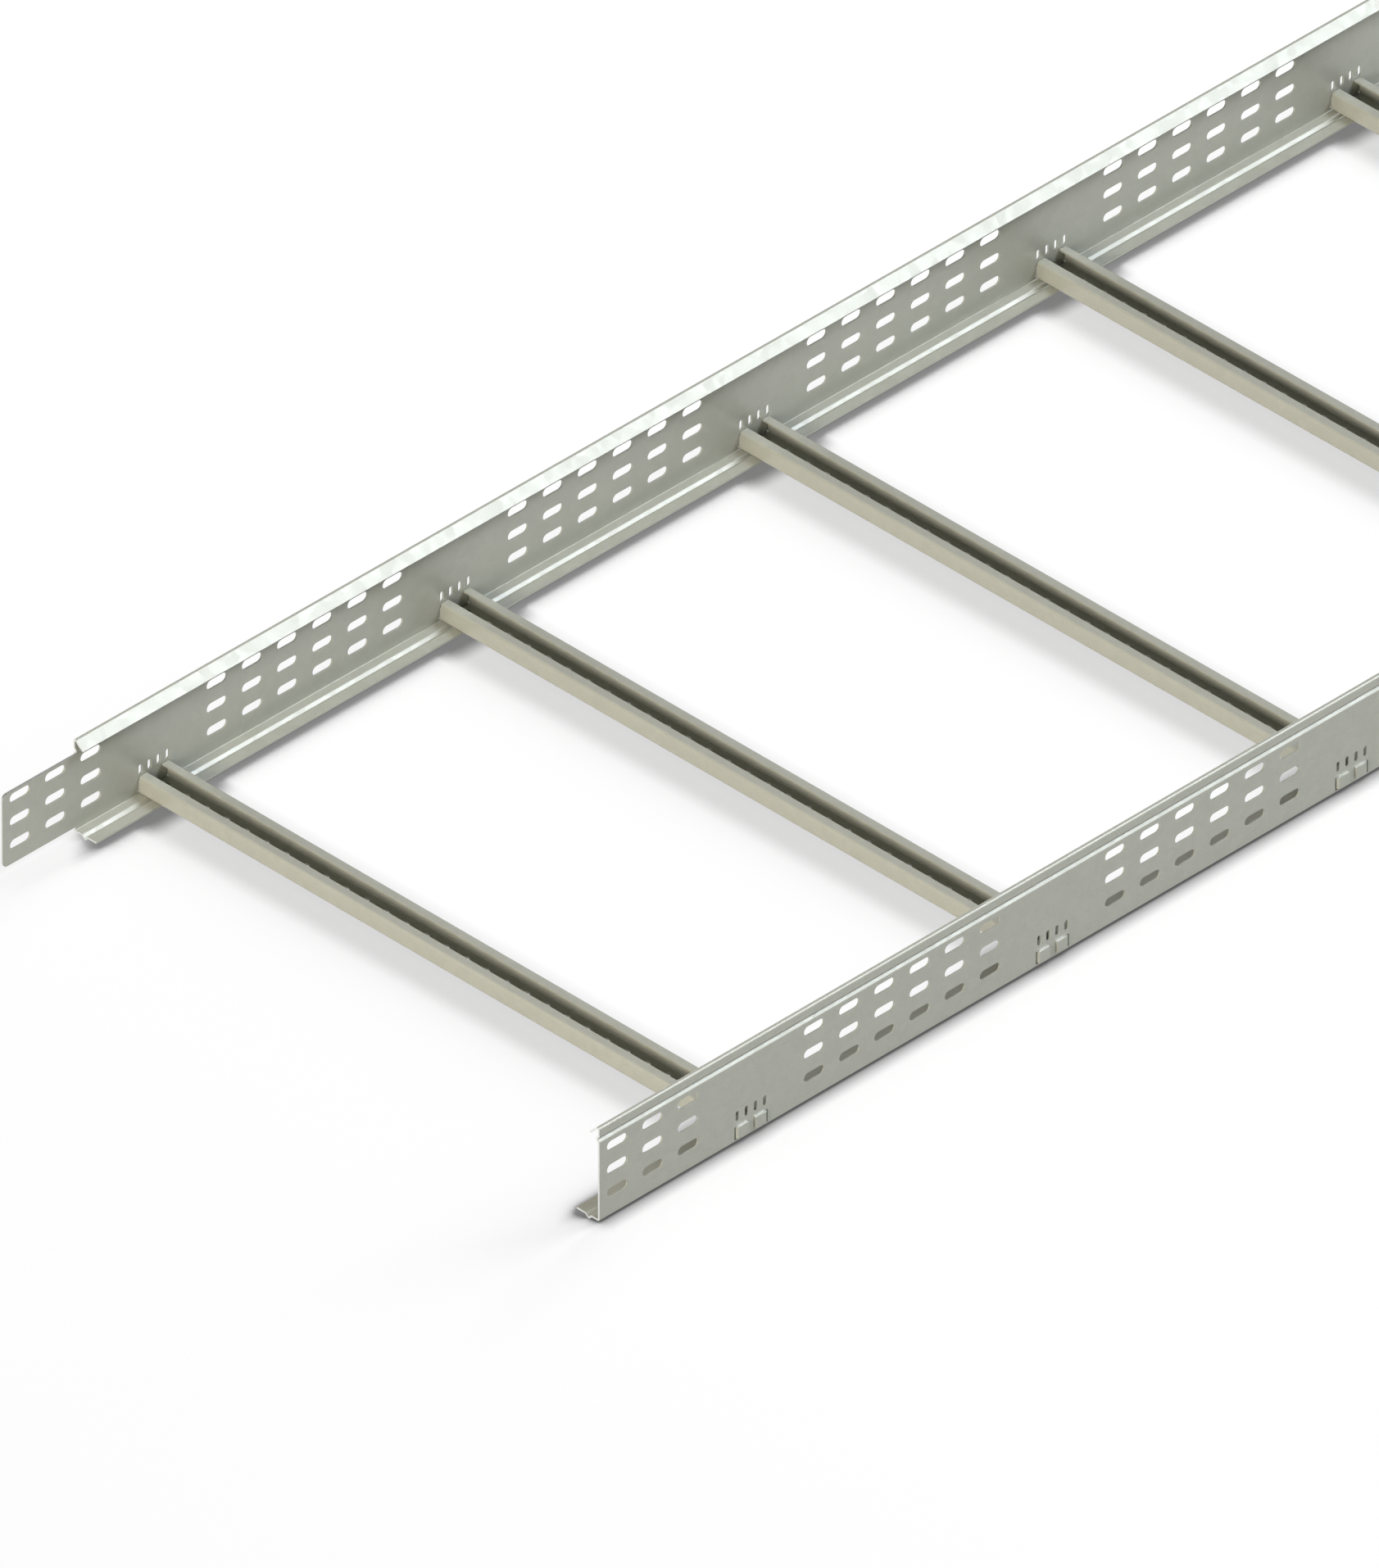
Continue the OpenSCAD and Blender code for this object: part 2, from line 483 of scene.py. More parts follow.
def mapped(
    tree: bpy.types.NodeTree,
    value: bpy.types.NodeSocket,
    ends: Sequence[Any],
    span: Sequence[Any] = (0.0, 1.0),
    smooth: bool = False,
) -> bpy.types.NodeSocket:
    """Adds a node that maps a span of values to another, and holds the ends beyond it.

    Args:
        tree: Node tree of a material or of the world.
        value: Output that gives the value.
        ends: Results at the two ends of the span, or the outputs that give them.
        span: The two ends of the span, or the outputs that give them.
        smooth: Whether the result eases in and out, and isn't in proportion.

    Returns:
        The output that gives the result.
    """
    names = ("From Min", "From Max", "To Min", "To Max")
    inputs = {"Value": value, **dict(zip(names, (*span, *ends)))}
    kind = "SMOOTHSTEP" if smooth else "LINEAR"
    return add_node(tree, "MapRange", inputs, interpolation_type=kind).outputs["Result"]


def scaled(
    tree: bpy.types.NodeTree, colour: Sequence[float], factor: bpy.types.NodeSocket
) -> bpy.types.NodeSocket:
    """Adds a node that multiplies a linear colour by a factor, and gives its output."""
    inputs = {0: colour, "Scale": factor}
    return add_node(tree, "VectorMath", inputs, operation="SCALE").outputs["Vector"]


def bare_material(name: str) -> tuple[bpy.types.Material, bpy.types.NodeTree]:
    """Makes a material, and gives it with its empty node tree."""
    material = bpy.data.materials.new(name)
    material.use_nodes = True
    material.node_tree.nodes.clear()
    return material, material.node_tree


@dataclass(frozen=True)
class GalvanisedSheet:
    """Hot-dip galvanised steel sheet, skin-passed and passivated.

    A satin zinc skin: it mirrors the room as a soft blur. Its crystals, the spangle, show as
    patches a few millimetres wide that differ slightly in tone and in gloss. The skin-pass rolls
    leave a fine matt grain.

    Attributes:
        name: Name of the material.
        colour: Colour of the zinc.
        spangle_mm: Width of one crystal.
        spangle_tone: Difference of tone between crystals, as a share.
        grain_mm: Width of the grain. The real grain is about 0.1 mm and would not show, so it is
            drawn as coarse as it needs to show.
        grain_tone: Difference of tone in the grain, as a share.
        grain_depth_mm: Depth of the grain's relief.
        roughness: Lowest and highest roughness of a crystal.
        metallic: Share of the surface that is bare zinc. The rest is its matt passivation.
    """

    name: str
    colour: str
    spangle_mm: float = 7.0
    spangle_tone: float = 0.025
    grain_mm: float = 0.9
    grain_tone: float = 0.05
    grain_depth_mm: float = 0.006
    roughness: tuple[float, float] = (0.38, 0.46)
    metallic: float = 0.25

    def material(self) -> bpy.types.Material:
        """Builds the material on Object coordinates."""
        material, tree = bare_material(self.name)
        place = add_node(tree, "TexCoord").outputs["Object"]
        spangle = add_node(
            tree, "TexVoronoi", {"Vector": place, "Scale": per_metre(self.spangle_mm)}
        )
        cell = add_node(tree, "SeparateColor", {"Color": spangle.outputs["Color"]})
        grain = add_node(
            tree,
            "TexNoise",
            {"Vector": place, "Scale": per_metre(self.grain_mm), "Detail": 2.0, "Roughness": 0.6},
        ).outputs["Fac"]
        cell_tone = mapped(
            tree, cell.outputs["Red"], (1 - self.spangle_tone, 1 + self.spangle_tone)
        )
        grain_tone = mapped(tree, grain, (1 - self.grain_tone, 1 + self.grain_tone), NOISE_SPAN)
        tone = add_node(tree, "Math", {0: cell_tone, 1: grain_tone}, operation="MULTIPLY")
        colour = scaled(tree, linear(self.colour), tone.outputs["Value"])
        gloss = mapped(tree, cell.outputs["Green"], self.roughness)
        relief = add_node(tree, "Bump", {"Distance": self.grain_depth_mm * MM, "Height": grain})
        skin = add_node(
            tree,
            "BsdfPrincipled",
            {
                "Base Color": colour,
                "Metallic": self.metallic,
                "Roughness": gloss,
                "Normal": relief.outputs["Normal"],
            },
        )
        add_node(tree, "OutputMaterial", {"Surface": skin.outputs["BSDF"]})
        return material


@dataclass(frozen=True)
class ShearedEdge:
    """Edge of the sheet where it was sheared or punched.

    Half of the thickness is burnished by the punch and half is torn, so the edge is brighter than
    the zinc skin and has fine lines through the thickness.

    Attributes:
        name: Name of the material.
        colour: Colour of the bare steel under its passivation.
        line_mm: Distance between the punch lines, drawn coarser than the real 0.1 mm.
        line_tones: Tone in and between the lines.
        roughness: Roughness of the burnished steel.
    """

    name: str
    colour: str
    line_mm: float = 1.2
    line_tones: tuple[float, float] = (0.92, 1.04)
    roughness: float = 0.4

    def material(self) -> bpy.types.Material:
        """Builds the material on Object coordinates."""
        material, tree = bare_material(self.name)
        place = add_node(tree, "TexCoord").outputs["Object"]
        lines = add_node(
            tree, "TexNoise", {"Vector": place, "Scale": per_metre(self.line_mm), "Detail": 1.0}
        )
        tone = mapped(tree, lines.outputs["Fac"], self.line_tones, NOISE_SPAN)
        colour = scaled(tree, linear(self.colour), tone)
        skin = add_node(
            tree,
            "BsdfPrincipled",
            {"Base Color": colour, "Metallic": 1.0, "Roughness": self.roughness},
        )
        add_node(tree, "OutputMaterial", {"Surface": skin.outputs["BSDF"]})
        return material


# ---- The ladder's pieces ----


@dataclass(frozen=True)
class SideRail:
    """Roll-formed C rail with a lid groove, a stiffening bead, slots and a coupling tongue.

    It is built as the near rail, with its tongue at +X. The far rail is the same part, turned end
    for end. Heights are over the underside of its bottom flange.

    Attributes:
        length: Length, with the tongue.
        face_y: Y of the web's outer face.
        flange_z: Z of the bottom flange's underside.
        rung_xs: X of every rung's middle.
        sheet: The sheet that it is bent from.
        height: Height of the web.
        bottom_flange: Width of the bottom flange, from the outer face.
        top_flange: Reach of the sloping top flange, from the outer face.
        bead_y: Distance from the outer face to the middle of the bead in the bottom flange.
        bead_depth: Depth of that bead.
        groove_depth: Depth of the lid groove in the web.
        groove_slope: Height of each of its two slopes.
        groove_drop: Distance from the top to its upper edge.
        slot_length: Length of a slot, along the rail.
        slot_width: Width of a slot.
        slot_pitch: Distance between two columns of slots.
        slot_rows: Heights of the rows of slots.
        slot_end: Distance from the rail's end to the first column.
        slot_rung_clearance: Least distance from a rung's middle to a column.
        tongue_length: Length of the coupling tongue.
        tongue_low: Height of its lower edge.
        tongue_high: Height of its upper edge.
        tongue_radius: Radius of its corners.
        tab_slot_inner: Distance from the rung's middle to a tab slot.
        tab_slot_outer: The same to its other side.
        tab_slot_low: Height of its lower edge.
        tab_slot_high: Height of its upper edge.
        mark_width: Width of an upright slot over the joint.
        mark_height: Its height.
        mark_z: Height of its middle.
        mark_xs: Places of the upright slots, from the rung's middle.
    """

    length: float
    face_y: float
    flange_z: float
    rung_xs: np.ndarray
    sheet: BentSheet = field(default_factory=BentSheet)
    height: float = 80.0
    bottom_flange: float = 22.5
    top_flange: float = 9.8
    bead_y: float = 10.9
    bead_depth: float = 2.4
    groove_depth: float = 1.9
    groove_slope: float = 2.4
    groove_drop: float = 7.6
    slot_length: float = 20.0
    slot_width: float = 8.0
    slot_pitch: float = 35.0
    slot_rows: tuple[float, ...] = (20.0, 40.0, 60.0)
    slot_end: float = 17.5
    slot_rung_clearance: float = 60.0
    tongue_length: float = 72.0
    tongue_low: float = 4.0
    tongue_high: float = 66.5
    tongue_radius: float = 5.0
    tab_slot_inner: float = 12.7
    tab_slot_outer: float = 16.4
    tab_slot_low: float = 2.3
    tab_slot_high: float = 13.3
    mark_width: float = 3.4
    mark_height: float = 8.6
    mark_z: float = 21.8
    mark_xs: tuple[float, ...] = (-13.5, -4.5, 4.5, 13.5)

    def corners(self) -> np.ndarray:
        """Corners of the section on its outer side, as rows of (distance inwards, height).

        The round of the top flange's bend reaches up to the rail's height. The bottom of the bead
        is a square bend, whose round stays bend (√2 - 1) clear of its corner.
        """
        bend = self.sheet.outside_radius
        flange_turn = math.radians(135)
        top = self.height - bend + bend * math.tan(flange_turn / 2)
        groove = self.height - self.groove_drop
        bead = self.bead_depth + bend * (math.sqrt(2) - 1)
        return np.array(
            [
                [self.top_flange, top - self.top_flange],
                [0, top],
                [0, groove],
                [self.groove_depth, groove - self.groove_slope],
                [0, groove - 2 * self.groove_slope],
                [0, 0],
                [self.bead_y - bead, 0],
                [self.bead_y, -bead],
                [self.bead_y + bead, 0],
                [self.bottom_flange, 0],
            ]
        )

    def blank(self) -> Shell:
        """The rail's section, carried over its whole length."""
        return carried(
            self.sheet.section(self.corners()),
            Y_AXIS,
            Z_AXIS,
            (-self.length / 2, 0, 0),
            (self.length / 2, 0, 0),
        )

    def punch(self, outline: np.ndarray, offsets: np.ndarray) -> Shell:
        """Punches through the web: an outline in X and Z, carried through the sheet.

        Args:
            outline: Rows of (x, z).
            offsets: Places along the rail, as rows of (x, z).

        Returns:
            One tool for every place.
        """
        through = self.sheet.thickness + OVERCUT
        tool = carried(outline, X_AXIS, Z_AXIS, (0, -OVERCUT, 0), (0, through, 0))
        return tool.repeated(np.insert(offsets, 1, 0, axis=1))

    def slot_columns(self) -> np.ndarray:
        """X of every column of slots: the columns at both ends, and those of each bay."""
        reach = self.length / 2 + self.rung_xs[0] - self.slot_rung_clearance
        rounding = 1e-6
        ends = np.arange(self.slot_end, reach + rounding, self.slot_pitch)
        pitch = self.rung_xs[1] - self.rung_xs[0]
        gaps = math.floor((pitch - 2 * self.slot_rung_clearance) / self.slot_pitch)
        bay = (np.arange(gaps + 1) - gaps / 2) * self.slot_pitch
        middles = (self.rung_xs[1:] + self.rung_xs[:-1]) / 2
        return np.concatenate(
            [ends - self.length / 2, self.length / 2 - ends, (middles[:, None] + bay).ravel()]
        )

    def punches(self) -> Shell:
        """All tools that pierce the web: slots, tab slots and marks."""
        columns = self.slot_columns()
        grid = np.stack(np.meshgrid(columns, self.slot_rows), axis=-1).reshape(-1, 2)
        slots = self.punch(obround(self.slot_length, self.slot_width), grid)
        inner, outer = self.tab_slot_inner, self.tab_slot_outer
        low, high = self.tab_slot_low, self.tab_slot_high
        box = np.array([[inner, low], [outer, low], [outer, high], [inner, high]])
        at_rungs = np.stack([self.rung_xs, np.zeros_like(self.rung_xs)], axis=1)
        tabs = [self.punch(box * [side, 1], at_rungs) for side in (-1, 1)]
        upright = obround(self.mark_height, self.mark_width)[:, ::-1]
        places = self.rung_xs[:, None] + np.array(self.mark_xs)
        marks = self.punch(
            upright, np.stack([places.ravel(), np.full(places.size, self.mark_z)], axis=1)
        )
        return joined([slots, *tabs, marks])

    def tongue_surround(self) -> Shell:
        """What is cut off round the tongue: an outline in X and Z, carried across the rail."""
        root = self.length / 2 - self.tongue_length
        tip = self.length / 2
        over = self.tongue_radius
        middle = (self.tongue_low + self.tongue_high) / 2
        tongue = rounded_box(
            (root - over, self.tongue_low), (tip, self.tongue_high), self.tongue_radius
        )
        tongue = tongue[tongue[:, 0] > root + over]
        tongue = tongue[np.argsort(np.arctan2(tongue[:, 1] - middle, tongue[:, 0] - root))]
        outline = np.concatenate(
            [
                [[root, self.tongue_low]],
                tongue,
                [
                    [root, self.tongue_high],
                    [root, self.height + 2 * over],
                    [tip + over, self.height + 2 * over],
                    [tip + over, -2 * over],
                    [root, -2 * over],
                ],
            ]
        )
        return carried(
            outline,
            X_AXIS,
            Z_AXIS,
            (0, -OVERCUT, 0),
            (0, self.bottom_flange + OVERCUT, 0),
            sides=Surface.CUT_EDGE,
        )

    def surface(self) -> Shell:
        """The finished near rail, in its place."""
        shell = worked(
            self.blank(), [(Cut.REMOVE, self.punches()), (Cut.REMOVE, self.tongue_surround())]
        )
        return shell.moved((0, self.face_y, self.flange_z))


@dataclass(frozen=True)
class Rung:
    """C rung with its mouth up, slots in its floor and four tabs clenched outside the rails.

    Attributes:
        length: Length without the tabs.
        rail_face_y: Y of the far rail's outer face.
        stand_z: Z of the rung's underside.
        sheet: The sheet that it is bent from.
        width: Width over the side walls.
        height: Height of the side walls.
        lip: Width of each lip, from the side wall's outer face.
        slot_length: Length of a floor slot, across the rung.
        slot_width: Width of a floor slot.
        slot_pitch: Distance between two floor slots.
        slot_margin: Least distance from the rung's end to the middle of a slot.
        tab_height: Height of a tab.
        tab_reach: Length of its clenched part, from the side wall's outer face.
    """

    length: float
    rail_face_y: float
    stand_z: float
    sheet: BentSheet = field(default_factory=BentSheet)
    width: float = 30.0
    height: float = 15.0
    lip: float = 7.4
    slot_length: float = 15.0
    slot_width: float = 7.0
    slot_pitch: float = 20.0
    slot_margin: float = 5.0
    tab_height: float = 9.5
    tab_reach: float = 11.4

    def blank(self) -> Shell:
        """The rung's section, carried from one rail to the other."""
        half = self.width / 2
        corners = np.array(
            [
                [self.lip - half, self.height],
                [-half, self.height],
                [-half, 0],
                [half, 0],
                [half, self.height],
                [half - self.lip, self.height],
            ]
        )
        ends = [(0, side * self.length / 2, 0) for side in (-1, 1)]
        return carried(self.sheet.section(corners), X_AXIS, Z_AXIS, *ends)

    def floor_slots(self) -> Shell:
        """Tools for the slots of the rung's floor, each across the rung."""
        gaps = math.floor((self.length - 2 * self.slot_margin) / self.slot_pitch)
        y = (np.arange(gaps + 1) - gaps / 2) * self.slot_pitch
        outline = obround(self.slot_length, self.slot_width)
        through = self.sheet.thickness + OVERCUT
        tool = carried(outline, X_AXIS, Y_AXIS, (0, 0, -OVERCUT), (0, 0, through))
        zero = np.zeros_like(y)
        return tool.repeated(np.stack([zero, y, zero], axis=1))

    def tabs(self) -> Shell:
        """The four tabs: out through the rail, then bent flat against its outer face."""
        half = self.width / 2
        outside = self.rail_face_y + self.sheet.thickness
        corners = np.array(
            [
                [half, self.length / 2 - self.sheet.thickness],
                [half, outside],
                [half - self.tab_reach, outside],
            ]
        )
        low = self.sheet.outside_radius
        tab = carried(
            self.sheet.section(corners),
            X_AXIS,
            Y_AXIS,
            (0, 0, low),
            (0, 0, low + self.tab_height),
        )
        return joined(tab.mirrored((x, y, 1)) for x in (-1, 1) for y in (-1, 1))

    def surface(self) -> Shell:
        """The finished rung at X = 0."""
        shell = worked(self.blank(), [(Cut.ADD, self.tabs()), (Cut.REMOVE, self.floor_slots())])
        return shell.moved((0, 0, self.stand_z))


@dataclass
class CableLadder:
    """The whole section: two side rails and a row of rungs.

    Attributes:
        rung_pitch: Distance between the middles of two rungs.
        end_to_rung: Distance from a rail's end to the nearest rung's middle.
        rungs: Number of rungs.
        width: Width over the rails' outer faces.
        bead_depth: Depth of the beads on which the ladder rests.
        sheet: The sheet of every piece.
        rail_finish: Finish of the rails.
        rung_finish: Finish of the rungs.
        edge_finish: Finish of the sheared ends.
    """

    rung_pitch: float = 300.0
    end_to_rung: float = 150.0
    rungs: int = 10
    width: float = 597.0
    bead_depth: float = 2.4
    sheet: BentSheet = field(default_factory=BentSheet)
    rail_finish: GalvanisedSheet = GalvanisedSheet("galvanised_rail_sheet", "#A4A69B")
    rung_finish: GalvanisedSheet = GalvanisedSheet("galvanised_rung_sheet", "#A4A69B")
    edge_finish: ShearedEdge = ShearedEdge("sheared_steel_edge", "#EFEFEA")

    @property
    def length(self) -> float:
        """Length of the section."""
        return (self.rungs - 1) * self.rung_pitch + 2 * self.end_to_rung

    @property
    def rung_xs(self) -> np.ndarray:
        """X of every rung's middle."""
        return (np.arange(self.rungs) - (self.rungs - 1) / 2) * self.rung_pitch

    def build_rails(self) -> list[bpy.types.Object]:
        """Makes both side rails from one finished surface."""
        rail = SideRail(self.length, -self.width / 2, self.bead_depth, self.rung_xs, self.sheet)
        surface = rail.surface()
        finishes = [self.rail_finish.material(), self.edge_finish.material()]
        return [
            dressed(
                f"rail_sheet_{side.name.lower()}",
                surface.spun(side.value),
                finishes,
                f"side_rail_{side.name.lower()}",
            )
            for side in RailSide
        ]

    def build_rungs(self) -> list[bpy.types.Object]:
        """Makes every rung from one finished surface."""
        bend = self.sheet.outside_radius
        rung = Rung(
            self.width - 2 * bend,
            self.width / 2,
            self.bead_depth + self.sheet.thickness,
            self.sheet,
        )
        surface = rung.surface()
        finishes = [self.rung_finish.material(), self.edge_finish.material()]
        return [
            dressed(
                f"rung_sheet_{number:02d}",
                surface.moved((x, 0, 0)),
                finishes,
                f"rung_{number:02d}",
            )
            for number, x in enumerate(self.rung_xs, start=1)
        ]


# ---- Studio ----


@dataclass(frozen=True)
class Lamp:
    """Round area light that faces the ladder. The gloss shows the world alone, and no lamp.

    A disc of radiance L and half angle a gives what faces it pi L sin(a)^2, and its power is
    pi L times its area.

    Attributes:
        name: Name of the light.
        way: Direction towards it.
        face: Outward direction of the faces whose light is set.
        flux: Irradiance of those faces, where 1 makes white.
        angle: Half angle under which it is seen, in degrees.
        colour: Its colour.
        distance: Its distance, in metres.
    """

    name: str
    way: tuple[float, float, float]
    face: tuple[float, float, float]
    flux: float
    angle: float
    colour: str = "#FFFFFF"
    distance: float = 14.0

    def hang(self, lit: Sequence[bpy.types.Object]) -> None:
        """Hangs the lamp.

        Args:
            lit: The objects that it lights.
        """
        towards = Vector(self.way).normalized()
        radius = self.distance * math.tan(math.radians(self.angle))
        facing = self.flux / towards.dot(self.face)
        radiance = facing / math.sin(math.radians(self.angle)) ** 2
        data = bpy.data.lights.new(self.name, "AREA")
        data.shape = "DISK"
        data.size = 2 * radius
        data.energy = radiance * math.pi * math.pi * radius**2
        data.color = linear(self.colour)
        light = bpy.data.objects.new(self.name, data)
        light.location = towards * self.distance
        light.rotation_euler = towards.to_track_quat("Z", "Y").to_euler()
        light.visible_camera = False
        light.visible_glossy = False
        group = bpy.data.collections.new(f"lit_by_{self.name}")
        for thing in lit:
            group.objects.link(thing)
        light.light_linking.receiver_collection = group
        bpy.context.scene.collection.objects.link(light)


@dataclass(frozen=True)
class Studio:
    """White floor, even light with a key, a fill and a back light, a softbox and a long lens.

    Attributes:
        floor_size: Side of the floor, in metres.
        sky: Strength of the even light from above.
        steel_lamps: The lamps that only light the steel: a cool key light for the level faces, a
            warm fill for the faces to -X, and a weak light for the back.
        floor_lamp: The broad low lamp that only lights the floor, and draws its soft shadows.
        backdrop: Radiance of the white backdrop in the steel's gloss.
        ceiling: Radiance of the grey ceiling over it.
        ceiling_rise: Sines of the heights between which the one turns to the other.
        softbox: Radiance that the softbox adds to them.
        softbox_colour: Its colour, a cool white.
        softbox_way: Direction towards the softbox.
        softbox_angles: Half angles inside which it is at its full strength and at none.
        floor_matt: Share of its light that the floor takes from the lamps, and so can lose in a
            shadow. A glow makes up for the rest, so that the open floor is white.
        glow_margin: How far the open floor goes past white, so that it is even.
        floor_bounce: Share of the light that the floor gives back to the steel.
        contact_mm: Reach of the painted contact shadow outside and inside the rails.
        contact_closed: Openness at which it is deepest, outside and inside the rails.
        contact_samples: Rays that look for it.
        contact_tones: Its deepest tone outside and inside the rails, which touch the floor, and
            under the rungs, which don't.
        rail_band: Distances from the ladder's middle between which outside turns to inside.
        rung_band: Distances between which the rails' tone turns to the rungs'.
        tongue_band: Sums of the ways to -X and +Y between which it turns to the tongue's.
        tongue_tone: Deepest tone of the painted shade under the tongue, which hangs clear of the
            floor.
        lens: Focal length, in millimetres, for a sensor of sensor_width.
        sensor_width: Width of the sensor, in millimetres.
        aim: Point in the middle of the view, in metres.
        camera_way: Direction from there towards the camera, along the diagonal of a cube.
        camera_distance: Distance of the camera from that point, in metres.
        clip: Nearest and farthest distance that the camera sees, in metres.
    """

    floor_size: float = 80.0
    sky: float = 0.15
    steel_lamps: tuple[Lamp, ...] = (
        Lamp("key_light", (0.5, -0.52, 1.0), (0.0, 0.0, 1.0), 0.68, 12.0, "#EEF3FF"),
        Lamp("fill_light", (-1.0, -0.15, 0.42), (-1.0, 0.0, 0.0), 1.1, 12.0, "#FFF4E7"),
        Lamp("back_light", (0.7, 1.0, 0.05), (0.0, 1.0, 0.0), 0.5, 20.0),
    )
    floor_lamp: Lamp = Lamp("floor_light", (1.0, -0.1, 0.55), (0.0, 0.0, 1.0), 0.95, 24.0)
    backdrop: float = 1.0
    ceiling: float = 0.3
    ceiling_rise: tuple[float, float] = (0.1, 0.5)
    softbox: float = 9.5
    softbox_colour: str = "#EBF1FF"
    softbox_way: tuple[float, float, float] = (1.0, -1.0, 1.0)
    softbox_angles: tuple[float, float] = (8.0, 26.0)
    floor_matt: float = 0.27
    glow_margin: float = 0.05
    floor_bounce: float = 0.75
    contact_mm: tuple[float, float] = (14.0, 32.0)
    contact_closed: tuple[float, float] = (0.25, 0.87)
    contact_samples: int = 16
    contact_tones: tuple[float, float, float] = (0.11, 0.26, 0.86)
    rail_band: tuple[float, float] = (0.300, 0.277)
    rung_band: tuple[float, float] = (0.270, 0.250)
    tongue_band: tuple[float, float] = (1.700, 1.735)
    tongue_tone: float = 0.93
    lens: float = 1500.0
    sensor_width: float = 36.0
    aim: tuple[float, float, float] = (-1.0780, 0.0345, 0.0)
    camera_way: tuple[float, float, float] = (-1.0, -1.0, 1.0)
    camera_distance: float = 46.141
    clip: tuple[float, float] = (1.0, 200.0)

    def world(self) -> None:
        """Lights the scene evenly. The eye sees white, and the steel's gloss sees the room."""
        world = bpy.data.worlds.new("studio")
        world.use_nodes = True
        tree = world.node_tree
        tree.nodes.clear()
        rays = add_node(tree, "LightPath").outputs
        way = Vector(self.softbox_way).normalized()
        outwards = add_node(tree, "TexCoord").outputs["Generated"]
        towards = add_node(tree, "VectorMath", {0: outwards, 1: way}, operation="DOT_PRODUCT")
        inner, outer = (math.cos(math.radians(angle)) for angle in self.softbox_angles)
        box = mapped(tree, towards.outputs["Value"], (0.0, 1.0), (outer, inner), smooth=True)
        height = add_node(tree, "SeparateXYZ", {0: outwards}).outputs["Z"]
        room = mapped(
            tree, height, (self.backdrop, self.ceiling), self.ceiling_rise, smooth=True
        )
        softbox = np.array(linear(self.softbox_colour)) * self.softbox
        gloss = add_node(
            tree,
            "VectorMath",
            {0: softbox, 1: box, 2: room},
            operation="MULTIPLY_ADD",
        )
        plain = add_node(
            tree,
            "Math",
            {0: rays["Is Camera Ray"], 1: rays["Is Transmission Ray"]},
            operation="MAXIMUM",
        )
        even = mapped(tree, plain.outputs["Value"], (self.sky, 1.0))
        light = add_node(
            tree,
            "Mix",
            {"Factor": rays["Is Glossy Ray"], "A": even, "B": gloss.outputs["Vector"]},
            data_type="VECTOR",
        )
        background = add_node(tree, "Background", {"Color": enabled_output(light)})
        add_node(tree, "OutputWorld", {"Surface": background.outputs["Background"]})
        bpy.context.scene.world = world

    def floor_material(self) -> bpy.types.Material:
        """Matt white paper whose shadows are soft, and dark only right under the steel.

        The dark right under the steel is painted shade: ambient occlusion and the place darken its
        matt colour and its glow for the eye. The steel sees it plain. It is clear from below, so
        that the underside can be looked at.
        """
        material, tree = bare_material("white_paper_floor")
        rays = add_node(tree, "LightPath").outputs
        place = add_node(tree, "SeparateXYZ", {0: add_node(tree, "TexCoord").outputs["Object"]})
        x, y = place.outputs["X"], place.outputs["Y"]
        # Painted shade by place: how deep the painted contact shadow goes beside the rails, under
        # the rungs and under the tongue.
        across = add_node(tree, "Math", {0: y}, operation="ABSOLUTE").outputs["Value"]
        reaches = [reach * MM for reach in self.contact_mm]
        reach = mapped(tree, across, reaches, self.rail_band, smooth=True)
        closed = mapped(tree, across, self.contact_closed, self.rail_band, smooth=True)
        *by_rails, by_rungs = self.contact_tones
        deepest = mapped(tree, across, by_rails, self.rail_band, smooth=True)
        deepest = mapped(tree, across, (deepest, by_rungs), self.rung_band, smooth=True)
        corner = add_node(tree, "Math", {0: y, 1: x}, operation="SUBTRACT").outputs["Value"]
        deepest = mapped(
            tree, corner, (deepest, self.tongue_tone), self.tongue_band, smooth=True
        )
        openness = add_node(
            tree, "AmbientOcclusion", {"Distance": reach}, samples=self.contact_samples
        )
        # Painted contact shadow: ambient occlusion, mapped to a tone, darkens the floor's matt
        # colour and its glow alike.
        contact = mapped(tree, openness.outputs["AO"], (deepest, 1.0), (closed, 1.0))
        shade = scaled(tree, [self.floor_matt] * 3, contact)
        lost = self.floor_matt * (self.sky + self.floor_lamp.flux)
        full_glow = 1 + self.glow_margin - lost
        glow = add_node(tree, "Math", {0: contact, 1: full_glow}, operation="MULTIPLY")
        seen = self.paper(tree, shade, glow.outputs["Value"])
        mirrored = self.paper(tree, (*[self.floor_matt] * 3, 1.0), full_glow)
        bounced = add_node(tree, "BsdfDiffuse", {"Color": (*[self.floor_bounce] * 3, 1.0)})
        steel = add_node(
            tree, "MixShader", {0: rays["Is Glossy Ray"], 1: bounced.outputs[0], 2: mirrored}
        )
        above = add_node(
            tree, "MixShader", {0: rays["Is Camera Ray"], 1: steel.outputs[0], 2: seen}
        )
        under = add_node(tree, "NewGeometry").outputs["Backfacing"]
        clear = add_node(tree, "BsdfTransparent")
        sided = add_node(tree, "MixShader", {0: under, 1: above.outputs[0], 2: clear.outputs[0]})
        add_node(tree, "OutputMaterial", {"Surface": sided.outputs["Shader"]})
        return material

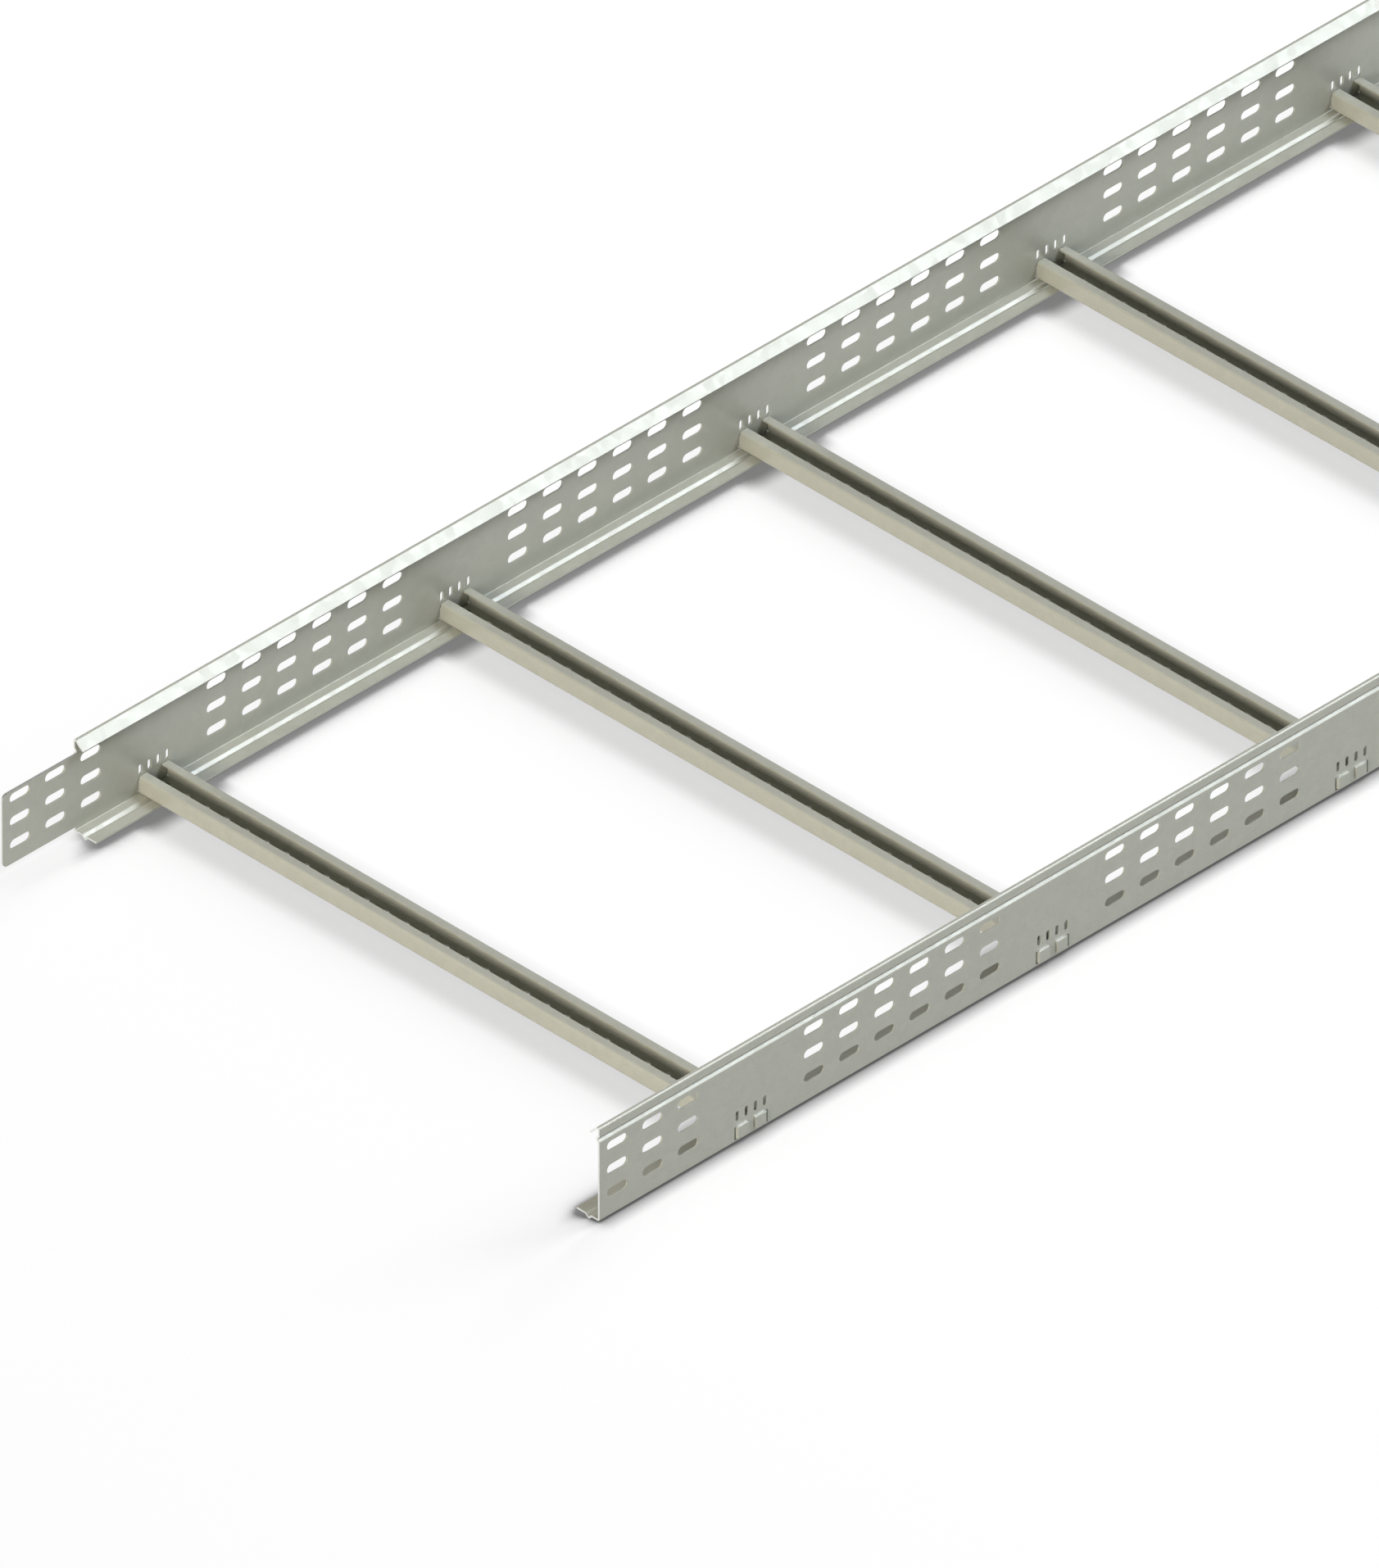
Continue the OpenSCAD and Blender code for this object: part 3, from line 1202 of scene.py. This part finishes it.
    def paper(self, tree: bpy.types.NodeTree, colour: Any, glow: Any) -> bpy.types.NodeSocket:
        """Adds a matt colour that takes shadows and a glow that takes none.

        Args:
            tree: Node tree of the floor's material.
            colour: Matt colour, or the output that gives it.
            glow: Strength of the glow, or the output that gives it.

        Returns:
            The output of both together.
        """
        matt = add_node(tree, "BsdfDiffuse", {"Color": colour})
        white = add_node(tree, "Emission", {"Color": (1.0, 1.0, 1.0, 1.0), "Strength": glow})
        return add_node(tree, "AddShader", {0: matt.outputs[0], 1: white.outputs[0]}).outputs[0]

    def floor(self) -> bpy.types.Object:
        """Lays the floor at Z = 0."""
        half = self.floor_size / 2 / MM
        corners = np.array([[-half, -half, 0], [half, -half, 0], [half, half, 0], [-half, half, 0]])
        shell = Shell(corners, np.arange(4), np.array([4]), np.array([Surface.SHEET.value]))
        floor = mesh_object("studio_floor", shell, [self.floor_material()])
        return floor

    def camera(self) -> None:
        """Sets the long lens, level, from above the ladder's -X end on its -Y side."""
        back = Vector(self.camera_way).normalized()
        data = bpy.data.cameras.new("camera")
        data.lens = self.lens
        data.sensor_width = self.sensor_width
        data.clip_start, data.clip_end = self.clip
        camera = bpy.data.objects.new("camera", data)
        camera.location = Vector(self.aim) + back * self.camera_distance
        camera.rotation_euler = back.to_track_quat("Z", "Y").to_euler()
        bpy.context.scene.collection.objects.link(camera)
        bpy.context.scene.camera = camera

    def build(self, steel: Sequence[bpy.types.Object]) -> None:
        """Makes the world, the floor, the lamps and the camera.

        Args:
            steel: The pieces of the ladder.
        """
        self.world()
        floor = self.floor()
        for lamp in self.steel_lamps:
            lamp.hang(steel)
        self.floor_lamp.hang([floor])
        self.camera()
        bpy.context.scene.view_settings.view_transform = "Standard"


def enabled_output(node: bpy.types.Node) -> bpy.types.NodeSocket:
    """The output of a Mix node that its data type uses."""
    return next(socket for socket in node.outputs if socket.enabled)


def main() -> None:
    logging.basicConfig(level=logging.INFO, format="%(name)s: %(message)s")
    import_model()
    ladder = CableLadder()
    pieces = [*ladder.build_rails(), *ladder.build_rungs()]
    for piece in pieces:
        LOG.info("%s: %d faces", piece.name, len(piece.data.polygons))
    Studio().build(pieces)
    bpy.context.view_layer.update()


if __name__ == "__main__":
    main()
